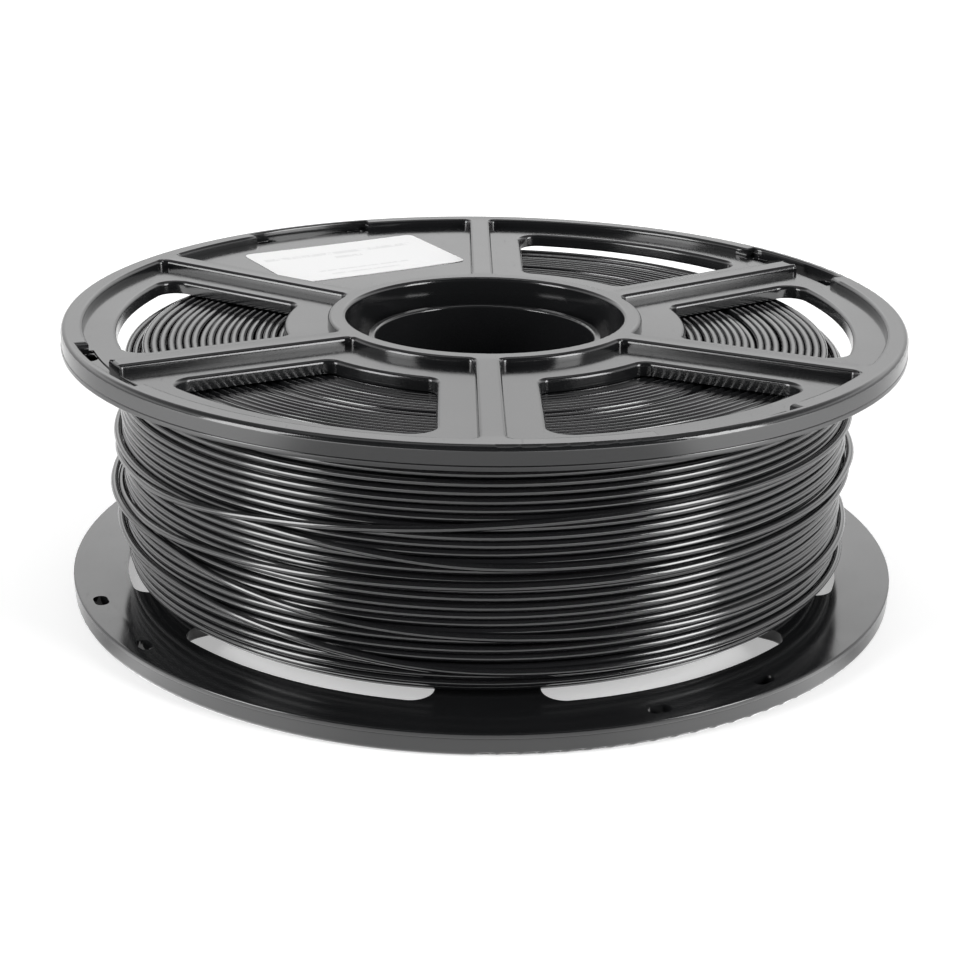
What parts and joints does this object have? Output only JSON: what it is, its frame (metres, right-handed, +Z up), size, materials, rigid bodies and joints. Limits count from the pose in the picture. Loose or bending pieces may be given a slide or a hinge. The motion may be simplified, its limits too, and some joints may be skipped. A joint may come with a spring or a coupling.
{
  "type": "filament spool",
  "caption": "Spool of black 1.75 mm printing filament: two spoked plastic flanges snapped together round a barrel, with a through bore, side windows, filament parking holes and a bare label.",
  "frame": {"origin": "on the axis, at the centre of the rim that the spool stands on", "axes": "+Z up along the bore, +X to the right and -Y towards the viewer; the closed sector with the label lies at 121 degrees from +X"},
  "size_m": [0.2, 0.2, 0.0666],
  "materials": {
    "spool_plastic": "glossy moulded black plastic",
    "filament": "glossy black strand",
    "label": "white paper sticker, bare"
  },
  "bodies": {
    "root": {"upper_half": "spool_plastic", "lower_half": "spool_plastic", "wound_filament": "filament", "label": "label"}
  },
  "joints": []
}
